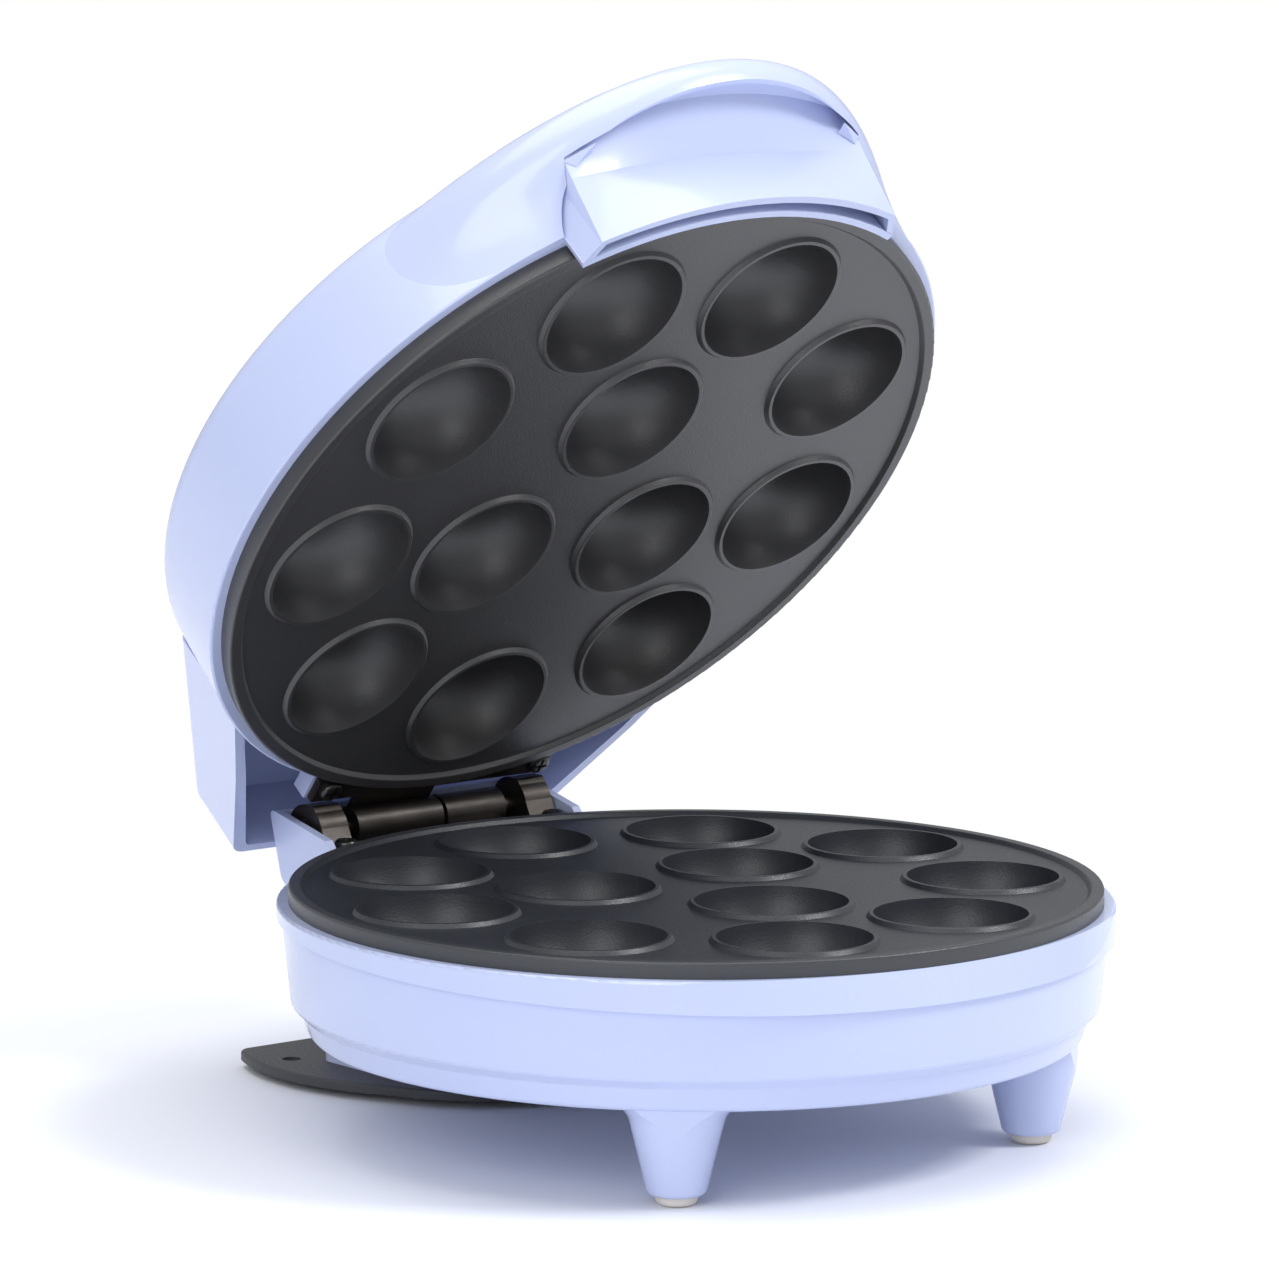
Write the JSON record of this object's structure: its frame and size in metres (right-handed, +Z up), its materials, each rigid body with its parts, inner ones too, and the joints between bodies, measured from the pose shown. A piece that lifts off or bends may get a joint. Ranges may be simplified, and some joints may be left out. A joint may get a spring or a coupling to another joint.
{
  "type": "donut maker",
  "caption": "Round electric maker for ball donuts: pocketed non-stick plates in a base and a hinged lid with a front handle, on legs with a cord-wrap foot.",
  "frame": {"origin": "on the table plane, under the middle of the machine's outline with the lid at rest", "axes": "+Z up, +X to the right of someone facing the handle side, which faces -Y; hinge at +Y"},
  "size_m": [0.21, 0.2486, 0.27],
  "materials": {
    "lavender_plastic": "glossy",
    "non_stick_plate": "dark non-stick coating, satin, fine grain",
    "foot_rubber": "matte",
    "dark_plastic": "matte",
    "zinc_steel": "zinc plated",
    "hinge_steel": "dark, lightly oiled",
    "heater_sheath": "oxidised",
    "reflector_sheet": "mill finish",
    "thermostat_body": "matte",
    "fuse_sleeve": "matte",
    "terminal_plastic": "matte",
    "lead_sleeve": "braided glass sleeve",
    "board": "matte",
    "red_lens": "clear tinted",
    "green_lens": "clear tinted"
  },
  "bodies": {
    "base": {"base_housing": "lavender_plastic", "front_feet": "foot_rubber", "rear_feet": "foot_rubber", "cord_wrap_plate": "dark_plastic", "wrap_plate_screws": "zinc_steel", "cord_gland": "dark_plastic", "lower_cooking_plate": "non_stick_plate", "lower_plate_screws": "zinc_steel", "lower_heating_element": "heater_sheath", "lower_heat_reflector": "reflector_sheet", "lower_reflector_screws": "zinc_steel", "thermostat": "thermostat_body", "thermal_fuse": "fuse_sleeve", "terminal_block": "terminal_plastic", "supply_leads": "lead_sleeve", "element_leads": "lead_sleeve", "base_hinge_bracket": "hinge_steel", "base_hinge_screws": "zinc_steel", "hinge_pin": "hinge_steel"},
    "lid": {"lid_housing": "lavender_plastic", "handle_insert": "lavender_plastic", "upper_cooking_plate": "non_stick_plate", "upper_plate_clips": "zinc_steel", "upper_heating_element": "heater_sheath", "upper_heat_reflector": "reflector_sheet", "upper_reflector_screws": "zinc_steel", "lid_hinge_bracket": "hinge_steel", "lid_hinge_screws": "zinc_steel", "power_lamp_lens": "red_lens", "ready_lamp_lens": "green_lens", "lamp_board": "board", "lid_leads": "lead_sleeve"}
  },
  "joints": [
    {"name": "lid_hinge", "type": "hinge", "parent": "base", "child": "lid", "pos_m": [0, 0.0941, 0.0631], "axis": [-1, 0, 0], "range_deg": [-52.34, 47.66]}
  ]
}
